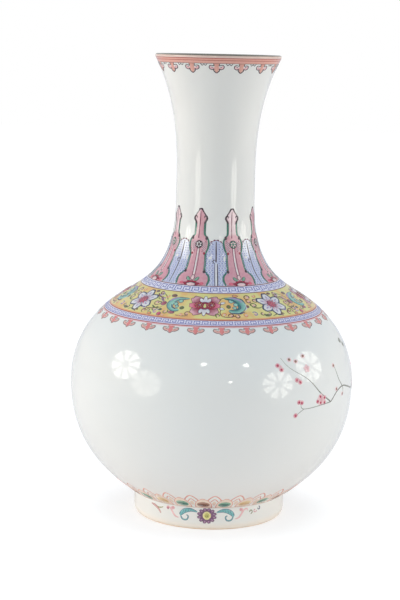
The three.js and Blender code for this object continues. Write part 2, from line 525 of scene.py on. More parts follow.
def enamel(name, deep, pale):
    """Fired overglaze enamel: a soft glassy shine a little duller than the glaze, and a colour that
    runs from deep to pale as the paint was shaded and thins in small pools."""
    material, tree, shader, place = new_material(name)
    grade = add_node(tree, "ShaderNodeAttribute", {}, attribute_name="grade").outputs["Fac"]
    pools = add_node(
        tree, "ShaderNodeTexNoise", {"Vector": place, "Scale": 1 / (POOL_SIZE * MM), "Detail": 3.0}
    ).outputs["Fac"]
    uneven = add_node(
        tree, "ShaderNodeMath", {0: pools, 1: 0.5, 2: -0.25}, operation="MULTIPLY_ADD"
    ).outputs[0]
    amount = add_node(
        tree, "ShaderNodeMath", {0: grade, 1: uneven}, operation="ADD", use_clamp=True
    ).outputs[0]
    colour = add_node(
        tree, "ShaderNodeMix", {"Factor": amount, "A": linear(deep), "B": linear(pale)}, data_type="RGBA"
    ).outputs["Result"]
    bump = add_node(
        tree, "ShaderNodeBump", {"Height": pools, "Distance": POOL_DEPTH * MM}
    ).outputs["Normal"]
    set_inputs(tree, shader, {"Base Color": colour, "Normal": bump, "Roughness": 0.08, "IOR": 1.52})
    return material


salmon = enamel("salmon enamel", "dc9a8b", "eebcad")
pink = enamel("pale pink enamel", "dfa3ab", "f7dcdd")
crimson = enamel("crimson enamel", "98173a", "f9ccd6")
iron_red = enamel("iron red line", "a8473f", "c0655b")
manganese = enamel("manganese line", "33252e", "55424d")
maroon = enamel("maroon line", "5e2238", "84405a")


def set_grade(piece, values):
    """Stores how pale the enamel is at each point, for its material to read."""
    grade = piece.data.attributes.new("grade", "FLOAT", "POINT")
    grade.data.foreach_set("value", values.astype(np.float32))


def ring(name, low, high, material, lift=0.1):
    """A band right round the vase between two rises: up its lifted face and back under the glaze."""
    count = int((high - low) / section_step) + 2
    edge = min(BEVEL, (high - low) / 8)
    rises = np.concatenate([[low], np.linspace(low + edge, high - edge, count), [high]])
    lifts = np.full(len(rises), lift)
    lifts[[0, -1]] = -SUNK
    face = on_glaze(0.0, rises, lifts)
    under = on_glaze(0.0, rises[::-1], np.full(len(rises), -RING_DEPTH))
    over = np.stack([-face[:, 1], face[:, 2]], 1)
    back = np.stack([-under[:, 1], under[:, 2]], 1)
    section = [over, *flat(over[-1], back[0]), back, *flat(back[-1], over[0])]
    piece = turned(name, section, material)
    set_grade(piece, np.full(len(piece.data.vertices), 0.5))


def through(points, share):
    """A Catmull-Rom curve through the points, read at shares of its way from first to last."""
    knots = np.array(points, float)
    ends = np.vstack([2 * knots[0] - knots[1], knots, 2 * knots[-1] - knots[-2]])
    place = share * (len(knots) - 1)
    i = np.minimum(place.astype(int), len(knots) - 2)
    f = (place - i)[:, None]
    a, b, c, d = ends[i], ends[i + 1], ends[i + 2], ends[i + 3]
    return 0.5 * (2 * b + (c - a) * f + (2 * a - 5 * b + 4 * c - d) * f**2 + (3 * b - a - 3 * c + d) * f**3)


def spaced(count, inset):
    """Shares from 0 to 1, with a first and a last step of the inset and even steps between."""
    return np.concatenate([[0], np.linspace(inset, 1 - inset, count - 2), [1]])


def across(half, columns):
    """Places across a stroke as shares of its half width, left to right, with a bevel's step in
    from each edge where there are columns for it."""
    half = np.maximum(half, 1e-3)[:, None]
    inner = np.maximum(1 - BEVEL / half, 0.8)
    middle = np.linspace(1, -1, columns - 2)[None] * inner
    return np.concatenate([np.ones_like(half), middle, -np.ones_like(half)], 1)


def stroke(points, steps=9, columns=4):
    """A brush stroke through points (x, y, half width): each row lies square across the curve, and
    the width falls to nothing round the ends as the half chord of a circle does."""
    knots = np.array(points, float)
    length = np.hypot(*np.diff(knots[:, :2], axis=0).T).sum()
    share = spaced(steps, min(BEVEL / length, 0.15))
    line = through(knots, share)
    tangent = np.gradient(line[:, :2], share, axis=0)
    tangent /= np.linalg.norm(tangent, axis=1, keepdims=True) + 1e-9
    half = np.maximum(line[:, 2], 0.02)
    near = np.clip(np.minimum(share, 1 - share) * length / half, 0, 1)
    half = half * np.sqrt(near * (2 - near))
    side = np.stack([-tangent[:, 1], tangent[:, 0]], 1)
    return line[:, None, :2] + side[:, None] * (across(half, columns) * half[:, None])[..., None]


def fill(left, right, steps=15, columns=5):
    """The area between two borders that run the same way, each a smooth curve through its points."""
    length = np.hypot(*np.diff(np.array(left, float), axis=0).T).sum()
    share = spaced(steps, min(BEVEL / length, 0.1))
    a = through(left, share)
    b = through(right, share)
    half = np.linalg.norm(a - b, axis=1) / 2
    weight = (1 - across(half, columns)[..., None]) / 2
    return a[:, None] * (1 - weight) + b[:, None] * weight


def bent(points, half):
    """A line with square corners: at each one the edges meet on the mitre of its two sides."""
    knots = np.array(points, float)
    step = np.diff(knots, axis=0)
    step /= np.linalg.norm(step, axis=1, keepdims=True)
    normal = np.stack([-step[:, 1], step[:, 0]], 1)
    before = np.vstack([normal[:1], normal])
    after = np.vstack([normal, normal[-1:]])
    mitre = (before + after) / (1 + (before * after).sum(1, keepdims=True))
    first = knots[:1] + step[:1] * BEVEL / 2
    last = knots[-1:] - step[-1:] * BEVEL / 2
    rows = np.vstack([knots[:1], first, knots[1:-1], last, knots[-1:]])
    mitre = np.vstack([mitre[:1], mitre, mitre[-1:]])
    return rows[:, None] + mitre[:, None] * half * np.array([1.0, 0.8, -0.8, -1.0])[None, :, None]


def disc(x, y, wide, high=None, steps=9, columns=5):
    """A round or oval dab: its half width at each row is the half chord of the ellipse."""
    high = wide if high is None else high
    angle = np.pi * spaced(steps, 0.06)
    half = wide * np.sin(angle)
    rows = np.stack([x + 0 * angle, y - high * np.cos(angle)], 1)
    offset = -across(half, columns) * half[:, None]
    return rows[:, None] + np.stack([offset, 0 * offset], -1)


def spoke(angle, stations, **options):
    """A stroke straight out from the middle: stations are (distance, half width)."""
    angle = np.radians(angle)
    return stroke([(far * np.sin(angle), far * np.cos(angle), half) for far, half in stations], **options)


def bordered(half_widths, grow=0.0, low=-1e3, high=1e3):
    """Left and right borders from (height, half width) pairs, grown out by a margin."""
    kept = [(h, w) for h, w in half_widths if low <= h <= high]
    left = [(-w - grow, h + (grow if (h, w) == kept[-1] else 0)) for h, w in kept]
    return left, [(-x, h) for x, h in left]


def lay(paint, grid, turn, rise, lift, grade=0.5):
    """Adds one dab of enamel: a grid in millimetres wrapped on the glaze round a turn and a rise. Its
    edges and ends sink under the glaze, and a strip below closes it. Each dab of a colour lies a hair
    higher than the one before, in turns of eleven, so that no two faces coincide. The grade, from
    deep to pale, is a number, or a rule on the shares of the way sideways and along."""
    x, y = grid[..., 0], grid[..., 1]
    rows, columns = x.shape
    along = np.linspace(0, 1, rows)[:, None] + np.zeros((1, columns))
    sideways = np.linspace(0, 1, columns)[None] + np.zeros((rows, 1))
    value = grade(sideways, along) if callable(grade) else np.full(x.shape, grade)
    border_x = np.concatenate([x[:, 0], x[::-1, -1]])
    border_y = np.concatenate([y[:, 0], y[::-1, -1]])
    if (border_x * np.roll(border_y, -1) - border_y * np.roll(border_x, -1)).sum() > 0:
        x, y, value = x[:, ::-1], y[:, ::-1], value[:, ::-1]
    rises = rise + y
    radius = np.interp(rises, outside_rise, outside[:, 0])
    lifts = np.full(x.shape, lift + STAGGER * (len(paint) % 11))
    lifts[:, [0, -1]] = -SUNK
    lifts[[0, -1]] = -SUNK
    points = on_glaze(np.radians(turn) + x / radius, rises, lifts)
    body = points[1:-1].reshape(-1, 3)
    middle = slice((columns - 1) // 2, columns // 2 + 1)
    ends = points[[0, -1], middle].mean(1)
    index = np.arange((rows - 2) * columns).reshape(rows - 2, columns)
    start, end = len(body), len(body) + 1
    quads = [
        np.stack([index[:-1, :-1], index[:-1, 1:], index[1:, 1:], index[1:, :-1]], -1).reshape(-1, 4),
        np.stack([index[:-1, -1], index[:-1, 0], index[1:, 0], index[1:, -1]], -1),
    ]
    first, last = index[0], index[-1]
    triangles = [
        np.stack([np.full(columns - 1, start), first[1:], first[:-1]], -1),
        np.stack([np.full(columns - 1, end), last[:-1], last[1:]], -1),
        np.array([[start, first[0], first[-1]], [end, last[-1], last[0]]]),
    ]
    values = np.concatenate([value[1:-1].ravel(), value[[0, -1], middle].mean(1)])
    paint.append((np.vstack([body, ends]), np.concatenate(quads), np.concatenate(triangles), values))


def mirrored(paint, grid, turn, rise, lift, grade=0.5):
    """Adds a dab and its mirror image on the other side of the turn."""
    for side in (1, -1):
        lay(paint, grid * (side, 1), turn, rise, lift, grade)


def fired(name, paint, material):
    """Joins the dabs of one colour into a piece and fixes it to the vase."""
    offsets = np.cumsum([0] + [len(part[0]) for part in paint])
    points = np.concatenate([part[0] for part in paint])
    quads = np.concatenate([part[1] + offset for part, offset in zip(paint, offsets)])
    triangles = np.concatenate([part[2] + offset for part, offset in zip(paint, offsets)])
    piece = put_mesh(name, points, quads, triangles, [material])
    set_grade(piece, np.concatenate([part[3] for part in paint]))
    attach(piece, "root")


def fire_all(prefix, paint, **materials):
    """Fires the dabs of each colour, in the order in which the materials are named."""
    for colour, material in materials.items():
        fired(prefix + colour, paint[colour], material)


ring("mouth_strip", 445.2, 447.4, enamel("pale salmon enamel", "e3c3b5", "ecd6ca"), 0.06)
ring("mouth_band", 440.5, 445.3, salmon, 0.08)
ring("mouth_line_high", 444.7, 445.4, iron_red, 0.12)
ring("mouth_line_low", 442.9, 443.5, iron_red, 0.12)
ring("mouth_line_edge", 440.3, 440.6, manganese, 0.12)

mouth_pendants = 15
pendant_turn = -2
pendant_rise = 440.4
pendant_lines = [
    [
        (2.6, 0.0, 0.2), (2.1, -2.0, 0.35), (3.8, -1.6, 0.3), (5.8, -1.9, 0.35), (5.8, -4.2, 0.35),
        (3.6, -5.3, 0.35), (2.2, -4.4, 0.45),
    ],
    [(2.0, -4.8, 0.3), (2.3, -6.2, 0.4), (0, -8.4, 0.4)],
    [(3.0, -3.0, 0.2), (4.2, -3.2, 0.35)],
]
mouth = defaultdict(list)
for k in range(mouth_pendants):
    spot = (pendant_turn + 360 / mouth_pendants * k, pendant_rise)
    gap = (spot[0] + 180 / mouth_pendants, pendant_rise)
    stem = fill(*bordered([(0.4, 2.8), (-1.8, 1.8), (-5.6, 1.9), (-8.0, 0)]))
    lay(mouth["pendants"], stem, *spot, 0.1, lambda u, v: 0.2 + 0.6 * v)
    lobe = stroke([(1.4, -3.4, 0.8), (3.4, -4.2, 1.2), (5.0, -3.4, 1.0), (4.6, -1.8, 0.5)], columns=5)
    mirrored(mouth["pendant_lobes"], lobe, *spot, 0.08)
    for points, steps in zip(pendant_lines, (19, 11, 5)):
        mirrored(mouth["pendant_lines"], stroke(points, steps=steps), *spot, 0.13)
    mirrored(mouth["loops"], stroke([(0, -0.3, 0.2), (1.4, -1.7, 0.3), (2.8, 0, 0.2)]), *gap, 0.13)
fire_all("mouth_", mouth, pendants=salmon, pendant_lobes=pink, pendant_lines=manganese, loops=manganese)

# The neck lappets
# Eight rose lappets with pointed heads stand round the root of the neck, each on half a lotus, and
# a blue plantain leaf shows in every gap between them.
lappets = 8
lappet_turn = -20.5
lappet_foot = 253.0
lappet_half = [
    (0, 12.4), (3, 13.0), (6, 13.1), (9, 12.1), (11.5, 10.0), (13.5, 7.8), (17, 7.0), (22, 6.5), (27, 5.9),
    (29.5, 5.5), (31, 6.2), (34, 7.1), (37, 7.3), (40, 6.9), (42.5, 5.7), (44, 4.4), (45.5, 3.4), (50, 3.1),
    (54.5, 3.1), (56, 3.4), (58, 4.6), (60, 4.4), (62, 3.2), (64, 1.8), (66, 0.3),
]
leaf_half = [
    (0, 10.0), (9, 10.0), (17, 9.7), (25, 9.2), (31, 8.4), (35, 7.2), (38, 5.0), (39.7, 2.8), (40.6, 0.2),
]
leaf_veins = [
    [(0, 39.8, 0.35), (0, 31, 0.6), (0, 22, 0.55)],
    [(-0.9, 21, 0.2), (-2.6, 22.4, 0.4), (-1.8, 24.4, 0.4), (-0.3, 23, 0.2)],
]
rib_edges = [
    [(1.2, 21, 0.3), (1.25, 10, 0.45), (1.25, 0, 0.45)],
    [(-1.2, 21, 0.2), (-1.25, 10, 0.3), (-1.25, 0, 0.3)],
]
dark_rib = [(0, 22, 0.5), (-0.5, 12, 0.45), (0, 1, 0.35)]
lappet_hook = [
    (3.3, 53.8, 0.35), (4.2, 55.8, 0.7), (5.4, 58.2, 0.85), (4.8, 60.4, 0.7), (3.3, 60.0, 0.5),
    (3.3, 58.6, 0.3),
]
lappet_shoulders = [
    [(13.0, 1.0, 0.3), (13.8, 5.0, 0.9), (12.8, 9.4, 0.8), (10.1, 12.4, 0.6), (8.6, 14.4, 0.3)],
    [(6.5, 28.0, 0.3), (7.0, 31.0, 0.6), (7.9, 34.2, 0.7), (8.0, 38.2, 0.6), (7.2, 41.0, 0.3)],
]
lotus_petals = [(-78, 7.4, 1.9), (78, 7.4, 1.9), (-44, 5.6, 2.0), (44, 5.6, 2.0), (0, 4.4, 2.4)]
lotus_leaf = [(1.9, 4.6, 0.4), (3.4, 6.0, 1.3), (4.4, 7.4, 1.1), (5.0, 8.8, 0.3)]
green = enamel("green enamel", "2b6a5c", "86b59c")
olive = enamel("olive enamel", "535f2f", "a3a562")
blue = enamel("blue enamel", "a3add6", "eef1fa")
cobalt = enamel("cobalt line", "434ea6", "7a84c4")
white = enamel("white enamel", "c2b8cc", "efeeeb")
dusty_rose = enamel("dusty rose enamel", "d391a0", "f3dade")
carmine = enamel("carmine enamel", "cb2f55", "f3a3b6")


def widened(points, margin):
    """The points of a stroke, each half width grown by a margin."""
    return [(x, y, half + margin) for x, y, half in points]


def placed(grid, angle, x=0.0, y=0.0):
    """A grid turned clockwise by an angle in degrees, then moved."""
    angle = np.radians(angle)
    sideways, along = grid[..., 0], grid[..., 1]
    turned_x = sideways * np.cos(angle) + along * np.sin(angle)
    turned_y = along * np.cos(angle) - sideways * np.sin(angle)
    return np.stack([x + turned_x, y + turned_y], -1)


def petal(near, far, half, notch=0.0, grow=0.0, steps=9, columns=9):
    """A petal that stands up from near to far, widest past its middle. Its tip is round, and a notch
    parts it into two lobes. It is wider all round by the amount it is grown."""
    u = np.concatenate([[-1], np.linspace(-0.93, 0.93, columns - 2), [1]])[None]
    v = spaced(steps, 0.04)[:, None]
    width = (half + grow) * np.sin(np.pi * (0.12 + 0.68 * v)) ** 0.7
    reach = (far - near + 2 * grow) * (1 - 0.3 * u**4) - notch * (1 - np.abs(u)) ** 2
    return np.stack([u * width, near - grow + v * reach], -1)


leaf, lappet = defaultdict(list), defaultdict(list)
for k in range(lappets):
    spot = (lappet_turn + 180 / lappets + 360 / lappets * k, lappet_foot)
    lay(leaf["edges"], fill(*bordered(leaf_half, 0.45), steps=30), *spot, 0.03)
    # Every second leaf, with the pale ends of its dashes, turns paler towards its tip: partly the painter's
    # shading, partly a painted highlight where the lamps' reflections fall on those leaves.
    pale_tip_and_sheen = 1.2 * (k % 2)
    lay(
        leaf["faces"], fill(*bordered(leaf_half), steps=30, columns=7), *spot, 0.07,
        lambda u, v: 0.35 + pale_tip_and_sheen * smoothstep(v, 0.3, 0.8),
    )
    for height in (31.5, 34.5, 37.2, 39.0, 40.2):
        mirrored(leaf["edges"], disc(np.interp(height, *np.array(leaf_half).T), height, 1.15), *spot, 0.05)
    for row in range(19):
        height = 1.0 + 2.0 * row
        reach = np.interp(height, *np.array(leaf_half).T) - 0.8
        for number, x in enumerate(np.arange(2.7 + 0.6 * (row % 2), reach, 1.2)):
            dash = [(x - 0.8, height + 0.5, 0.16), (x, height, 0.3), (x + 0.8, height + 0.5, 0.16)]
            grade = 0.9 if number % 2 else 0.4 + pale_tip_and_sheen * smoothstep(height, 8, 30)
            mirrored(leaf[("dashes", "gaps")[number % 2]], stroke(dash, steps=5), *spot, 0.1, grade)
    for vein in leaf_veins + ([dark_rib] if k % 2 else rib_edges):
        lay(leaf["veins"], stroke(vein), *spot, 0.13)
    # The round white dab left of the midrib on every leaf is a painted highlight, a glint of lamp light. The
    # other white marks are the leaf's own paint.
    lay(leaf["ribs"], disc(-4.8, 26, 1.6, 1.2), *spot, 0.13, 0.9)
    lay(leaf["ribs"], disc(6.9, 25.5, 0.8, 2.4), *spot, 0.13, 0.9)
    if k % 2 == 0:
        lay(leaf["ribs"], stroke([(0, 22, 0.45), (0, 10, 0.7), (0, 0, 0.75)]), *spot, 0.11, 0.9)
for k in range(lappets):
    spot = (lappet_turn + 360 / lappets * k, lappet_foot)
    # Every second lappet has a paler head, and the two halves of each head differ in tone: partly the
    # painter's shading, partly a painted highlight where the lamps' reflections fall on the heads.
    left_head_tone_and_sheen, right_head_tone_and_sheen = ((0.3, -0.1), (1.2, 0.8))[k % 2]
    lay(lappet["green_edges"], fill(*bordered(lappet_half, 1.8, high=56), steps=60), *spot, 0.125, 0.15)
    lay(lappet["dark_edges"], fill(*bordered(lappet_half, 1.1, low=54.5), steps=24), *spot, 0.13)
    lay(
        lappet["faces"], fill(*bordered(lappet_half), steps=70, columns=9), *spot, 0.16,
        lambda u, v: 0.1 + 0.25 * v + smoothstep(v, 0.62, 0.7) * np.where(u < 0.5, left_head_tone_and_sheen, right_head_tone_and_sheen),
    )
    top_vein = stroke([(0, 64.5, 0.3), (-0.3, 57, 0.5), (-0.6, 50, 0.35), (-0.8, 42, 0.65)])
    lay(lappet["veins"], top_vein, *spot, 0.2)
    lay(lappet["stems"], stroke([(0, 34, 0.5), (-0.3, 22, 0.65), (0, 10, 0.7)]), *spot, 0.2, 0.9)
    mirrored(lappet["veins"], stroke([(1.1, 34, 0.25), (1.2, 22, 0.3), (1.2, 10, 0.25)]), *spot, 0.2)
    mirrored(lappet["dark_edges"], stroke(lappet_hook, steps=13), *spot, 0.2)
    for shoulder in lappet_shoulders:
        mirrored(lappet["green_edges"], stroke(shoulder, steps=13), *spot, 0.18, 0.1)
    mirrored(lappet["dark_edges"], disc(8.2, 13.6, 1.4), *spot, 0.2)
    mirrored(lappet["dark_edges"], disc(6.0, 42.4, 1.3, 1.6), *spot, 0.2)
    mirrored(lappet["crimsons"], disc(5.2, 29.5, 1.1), *spot, 0.2, 0.0)
    for height in np.arange(30.6, 38.6, 1.6):
        rising = stroke([(2.8, height, 0.2), (6.5, height + 3.4, 0.2)], steps=5)
        falling = stroke([(2.8, height + 3.4, 0.2), (6.5, height, 0.2)], steps=5)
        mirrored(lappet["veins"], rising, *spot, 0.19)
        mirrored(lappet["stems"], falling, *spot, 0.2, 0.5)
    rosette = ("dark_edges", "stems") if k % 2 == 0 else ("greens", "buds")
    lay(lappet["dark_edges"], disc(0, 37, 3.5), *spot, 0.21)
    lay(lappet[rosette[0]], disc(0, 37, 3.0), *spot, 0.24, 0.2)
    for angle in range(0, 360, 60):
        ray = placed(petal(0.9, 2.7, 0.6, steps=5, columns=5), angle, 0, 37)
        lay(lappet[rosette[1]], ray, *spot, 0.26, 0.8)
    for angle, length, half in lotus_petals:
        lotus = placed(petal(1, length, half), angle, 0, 0.6)
        lay(lappet["crimsons"], lotus, *spot, 0.2, lambda u, v: 0.3 * v - 0.25)
    mirrored(lappet["carmines"], disc(8.6, 2.0, 2.2, 1.6), *spot, 0.19, 0.3)
    lay(lappet["dark_edges"], disc(0, 1.1, 4.4, 2.3), *spot, 0.23)
    lay(lappet["buds"], disc(0, 0.9, 3.7, 1.7), *spot, 0.27, 0.7)
    for side in (-1, 1):
        blade = [(side * x, y, half) for x, y, half in lotus_leaf]
        lay(lappet["dark_edges"], stroke(widened(blade, 0.45)), *spot, 0.22)
        lay(lappet["greens"], stroke(blade), *spot, 0.25, 0.8)
    lay(lappet["dark_edges"], disc(0, 7.9, 2.0, 2.7), *spot, 0.22)
    lay(lappet["buds"], disc(0, 7.9, 1.5, 2.2), *spot, 0.26, 0.7)
fire_all("leaf_", leaf, edges=maroon)
fired("plantain_leaves", leaf["faces"], blue)
fire_all("leaf_", leaf, dashes=cobalt, gaps=white, ribs=white, veins=manganese)
fire_all("lappet_", lappet, green_edges=green, dark_edges=manganese)
fired("rose_lappets", lappet["faces"], dusty_rose)
fire_all("lappet_", lappet, veins=maroon, stems=white, crimsons=crimson)
fire_all("lappet_", lappet, carmines=carmine, greens=green, buds=pink)

# The key-fret bands
# Two lavender bands with a squared meander in cobalt frame the yellow band.
lavender = enamel("lavender enamel", "d7d6ee", "edecf8")
sky = enamel("light blue enamel", "d9d5ec", "ebe7f4")
fret_share = 0.62


def key_fret(name, low, high, units, ground, line, half):
    """A meander: each unit hooks up from the base line and coils in once, scaled to the band."""
    ring(name + "_ground", low, high, ground, 0.12)
    middle = (low + high) / 2
    pitch = 2 * np.pi * np.interp(middle, outside_rise, outside[:, 0]) / units
    scale = (pitch, (high - low) * fret_share)
    hook = [(-0.36, -0.5), (-0.36, 0.5), (0.34, 0.5), (0.34, -0.2), (-0.06, -0.2), (-0.06, 0.18)]
    base = [(-0.36, -0.5), (0.64, -0.5)]
    paint = []
    for k in range(units):
        for points, lift in ((hook, 0.18), (base, 0.17)):
            lay(paint, bent(np.array(points) * scale, half), 360 / units * k, middle, lift, 0.3)
    fired(name + "_meander", paint, line)


key_fret("upper_fret", 245.0, 252.4, 48, lavender, cobalt, 0.37)
key_fret("lower_fret", 207.3, 212.7, 86, sky, cobalt, 0.3)
ring("upper_fret_line", 252.3, 253.0, maroon, 0.26)
ring("upper_fret_foot", 244.5, 245.1, maroon, 0.26)
ring("lower_fret_line", 212.7, 213.5, iron_red, 0.2)
ring("lower_fret_foot", 206.5, 207.3, iron_red, 0.2)
ring("pendant_strip", 205.4, 206.6, pink, 0.1)

# The flower band
# A lemon-yellow ground shaded with orange. It carries eight open flowers, crimson and white by
# turns, with a curled turquoise leaf on either side of each crimson one and tendrils between.
band_rise = 229.5
flower_turn = -5.5
cloud_size = 15.0


def shaded_yellow():
    """Lemon enamel over which a thin orange was dabbed and left in soft clouds."""
    material, tree, shader, place = new_material("shaded yellow enamel")
    clouds = add_node(
        tree, "ShaderNodeTexNoise", {"Vector": place, "Scale": 1 / (cloud_size * MM), "Detail": 2.0}
    ).outputs["Fac"]
    amount = add_node(
        tree,
        "ShaderNodeMapRange",
        {"Value": clouds, "From Min": 0.42, "From Max": 0.68, "To Max": 0.9},
        interpolation_type="SMOOTHSTEP",
    ).outputs[0]
    colour = add_node(
        tree,
        "ShaderNodeMix",
        {"Factor": amount, "A": linear("e4dd90"), "B": linear("ecb672")},
        data_type="RGBA",
    ).outputs["Result"]
    set_inputs(tree, shader, {"Base Color": colour, "Roughness": 0.16, "IOR": 1.52})
    return material


yellow = shaded_yellow()
orange = enamel("orange enamel", "e0945a", "f0bd8c")
turquoise = enamel("turquoise enamel", "23807e", "9fd4c2")
lilac = enamel("lilac enamel", "8a74a8", "cbb8da")
brown = enamel("brown enamel", "6c4438", "b08872")
navy = enamel("navy line", "2c3150", "535b7c")
blush = enamel("blush enamel", "df958f", "f0cabd")
ring("flower_ground", 213.5, 244.6, yellow, 0.1)
ring("flower_ground_foot", 213.4, 214.9, orange, 0.14)


def in_band(points, turn, rise=band_rise):
    """Points given as (turn in degrees, rise, half width), as millimetres from a turn and a rise."""
    radius = np.interp([r for _, r, _ in points], outside_rise, outside[:, 0])
    return [(np.radians(1) * (t - turn) * reach, r - rise, w) for (t, r, w), reach in zip(points, radius)]


def coil(size, start, way=1, half=0.38):
    """A tendril that winds in through 306 degrees, while its radius falls evenly to a third."""
    angle = np.radians(start + way * np.linspace(0, 306, 9))
    reach = size * np.linspace(1, 0.33, 9)
    return stroke([(r * np.sin(a), r * np.cos(a), half) for r, a in zip(reach, angle)], steps=17)


right_leaf = [
    (7.2, 238.6, 0.3), (10.5, 238.4, 1.5), (14, 237.2, 2.5), (17, 234.5, 2.9), (18, 230, 3.1),
    (17, 226, 3.0), (14, 223, 2.5), (11, 222.8, 1.7), (9, 224.6, 1.0),
]
left_leaf = [
    (-16.5, 237.4, 0.3), (-20, 237, 1.1), (-24, 236, 1.9), (-27, 233, 2.3), (-28, 228.5, 2.6),
    (-26.5, 224.6, 2.4), (-23.5, 222.6, 1.8), (-20.5, 223.2, 1.0),
]
leaf_lobes = [
    (11.6, 235.2, 1.9), (14.0, 231.0, 1.8), (12.8, 227.0, 1.5), (-21.8, 233.6, 1.8), (-24.2, 229.8, 1.7),
    (-22.8, 226.8, 1.4),
]
leaf_shades = [
    ("lilac", [(10, 239.4, 0.4), (14, 239, 1.0), (17.5, 236.5, 0.9), (19, 233, 0.3)]),
    ("navy", [(18.3, 238.6, 0.3), (19.6, 236.6, 0.6), (20.6, 232.5, 0.3)]),
    ("white", [(20.4, 232, 0.3), (20.4, 227, 0.6), (18.6, 223.4, 0.3)]),
    ("navy", [(18.5, 222.4, 0.4), (15, 220.4, 0.9), (10.5, 220.8, 0.4)]),
    ("navy", [(9, 238.3, 0.2), (13, 236.6, 0.5), (15.5, 233.6, 0.3)]),
    ("navy", [(16.5, 231, 0.2), (16.6, 227, 0.5), (13.5, 223.9, 0.3)]),
    ("lilac", [(-24, 238, 0.3), (-27.5, 236, 1.0), (-29.5, 232.5, 0.5)]),
    ("navy", [(-19, 236.7, 0.2), (-23.5, 235, 0.5), (-26.2, 231.6, 0.3)]),
    ("navy", [(-27, 229, 0.2), (-25.6, 225.4, 0.5), (-22.6, 223.2, 0.3)]),
]
tendrils = {
    "brown": [
        (24.5, 239.5, 2.6, 200, 1), (24, 234.5, 2.2, 20, -1), (50, 241.5, 2.0, 90, 1),
        (10, 218.3, 2.0, 250, 1), (-37.5, 229, 2.6, 120, 1), (-15, 219.2, 2.0, 60, -1),
        (47.5, 218.2, 1.8, 180, 1), (13.6, 217.6, 1.8, 300, -1), (41.5, 216.6, 1.6, 90, -1),
        (28.5, 235.5, 1.9, 140, 1),
    ],
    "olive": [
        (26, 229.3, 2.4, 270, 1), (28.6, 219.5, 1.7, 90, 1), (33, 218.8, 1.7, 270, -1),
        (-37.5, 235.5, 2.2, 300, -1), (-28.5, 219.6, 2.0, 30, 1), (-39.5, 218.4, 1.6, 250, 1),
        (53.5, 221.5, 2.2, 40, 1), (54, 229, 1.6, 160, -1), (2.5, 218.3, 1.6, 200, 1),
    ],
    "lilac": [
        (-39.8, 239.4, 1.9, 0, 1), (-34.5, 218.6, 2.2, 60, -1), (55, 234.4, 1.9, 130, 1),
        (24, 219.4, 2.0, 310, 1), (-44, 222, 1.6, 0, -1),
    ],
    "orange": [
        (18.5, 218.4, 2.1, 30, -1), (6.2, 219.4, 2.0, 210, 1), (-29, 215.8, 1.5, 90, 1),
        (-33.5, 237.5, 1.5, 0, 1), (-18.5, 218, 1.7, 240, -1), (29.5, 240.5, 1.5, 30, 1),
    ],
}
dabs = [
    ("crimson", -32.7, 228.8, 2.4, 2.4), ("crimson", -24.5, 219.4, 2.8, 1.2),
    ("brown", -28.8, 239.4, 2.4, 1.5), ("orange", 15.5, 241.6, 2.2, 1.3), ("olive", 9.2, 228.6, 1.7, 1.9),
    ("olive", -19.3, 225.6, 1.8, 1.6), ("brown", 21.3, 228.4, 1.3, 1.5),
    ("orange", -37.5, 215.8, 2.0, 1.2), ("olive", -32.2, 221.4, 1.4, 1.0),
    ("carmine", -31.5, 216.6, 1.8, 1.8), ("olive", 31.5, 217.2, 2.6, 1.0), ("brown", 44.5, 242.0, 1.8, 1.0),
]
stalks = [
    ("brown", [(4, 235.5, 0.4), (5.5, 238.5, 0.5), (9.5, 239.8, 0.5)]),
    ("brown", [(4.6, 226, 0.4), (3.6, 221.5, 0.5), (5, 217.5, 0.5), (9.5, 216.6, 0.5), (12.5, 218.4, 0.5)]),
    ("olive", [(23.5, 231.5, 0.4), (25, 227.5, 0.6), (28.5, 226, 0.6), (31.5, 227.5, 0.4)]),
    ("olive", [(34.5, 216, 0.4), (38.5, 217.8, 0.7), (42.5, 217, 0.5)]),
    ("brown", [(47, 240, 0.4), (49.5, 237, 0.6), (53, 235.5, 0.6), (56, 231, 0.4)]),
    ("olive", [(50.5, 225, 0.4), (54, 222.5, 0.7), (58, 224.5, 0.5)]),
    ("brown", [(-34.5, 224.5, 0.4), (-37.5, 221.8, 0.6), (-41.5, 221.2, 0.6), (-43.5, 218, 0.4)]),
    ("olive", [(-31.5, 233.5, 0.4), (-33.5, 236.8, 0.6), (-37, 240, 0.6), (-41, 240.6, 0.4)]),
    ("brown", [(-14, 217, 0.4), (-18, 216.4, 0.6), (-21.5, 217, 0.4)]),
]
crimson_lobes = [(angle, 15.0, 5.2, 0.0) for angle in (46, 134, 226, 314)]
crimson_lobes += [(90, 13.6, 3.4, 0.03), (270, 13.6, 3.4, 0.03)]
band = defaultdict(list)
